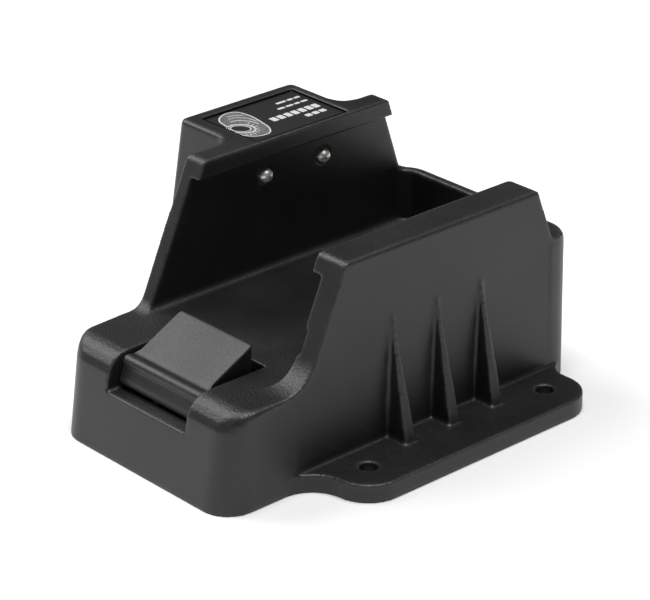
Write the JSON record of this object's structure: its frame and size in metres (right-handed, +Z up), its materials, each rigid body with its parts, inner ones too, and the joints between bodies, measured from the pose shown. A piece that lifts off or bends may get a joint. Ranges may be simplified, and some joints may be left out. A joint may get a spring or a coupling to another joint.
{
  "type": "charging cradle",
  "caption": "Screw-down charging cradle for a right-angle torch: open bay between lipped walls, sprung ramp latch, sprung contacts and a box of charging electronics.",
  "frame": {"origin": "bottom centre of the whole cradle's box, on the surface that it is screwed to", "axes": "+Z up, -Y towards the front where the latch is, +X towards the plain wall with the gussets, -X towards the contact wall and the electronics box"},
  "size_m": [0.1206, 0.1386, 0.0734],
  "materials": {
    "moulded_shell": "fine texture, near black",
    "moulded_latch": "fine texture, near black",
    "bright_steel": "bright zinc",
    "dark_steel": "black oxide",
    "spring_steel": "bright spring wire",
    "contact_nickel": "polished nickel plate",
    "block_plastic": "natural moulded",
    "terminal_brass": "bright",
    "lead_red": "wire insulation",
    "lead_black": "wire insulation",
    "board_green": "solder mask",
    "chip_black": "moulded package",
    "capacitor_can": "sleeved can",
    "chip_tan": "ceramic",
    "connector_plastic": "natural moulded",
    "inlet_plastic": "moulded",
    "cover_plastic": "fine texture, near black",
    "label_film": "printed film"
  },
  "bodies": {
    "cradle": {"cradle_body": "moulded_shell", "latch_pin": "bright_steel", "latch_spring": "spring_steel", "contact_spring_front": "spring_steel", "contact_spring_rear": "spring_steel", "contact_block": "block_plastic", "contact_terminals": "terminal_brass", "block_screws": "bright_steel", "contact_lead_positive": "lead_red", "contact_lead_negative": "lead_black", "circuit_board": "board_green", "board_screws": "bright_steel", "charge_controller": "chip_black", "power_inductor": "chip_black", "filter_capacitors": "capacitor_can", "rectifier_diodes": "chip_black", "chip_components": "chip_tan", "board_connector": "connector_plastic", "dc_jack": "inlet_plastic", "jack_washer": "bright_steel", "jack_nut": "bright_steel", "jack_lead_positive": "lead_red", "jack_lead_negative": "lead_black", "base_cover": "cover_plastic", "cover_screws": "dark_steel", "label_plate": "label_film"},
    "latch": {"release_latch": "moulded_latch"},
    "contact_front": {"contact_pin_front": "contact_nickel"},
    "contact_rear": {"contact_pin_rear": "contact_nickel"}
  },
  "joints": [
    {"name": "latch_press", "type": "hinge", "parent": "cradle", "child": "latch", "pos_m": [0.002, -0.05835, 0.0267], "axis": [-1, 0, 0], "range_deg": [0, 18], "stiffness_Nm_per_rad": 0.15, "springref_deg": -14.32, "deforming": ["latch_spring"]},
    {"name": "contact_front_press", "type": "slide", "parent": "cradle", "child": "contact_front", "axis": [-1, 0, 0], "range_m": [0, 0.0016], "stiffness_N_per_m": 600, "springref_m": -0.001, "deforming": ["contact_spring_front"]},
    {"name": "contact_rear_press", "type": "slide", "parent": "cradle", "child": "contact_rear", "axis": [-1, 0, 0], "range_m": [0, 0.0016], "stiffness_N_per_m": 600, "springref_m": -0.001, "deforming": ["contact_spring_rear"]}
  ]
}
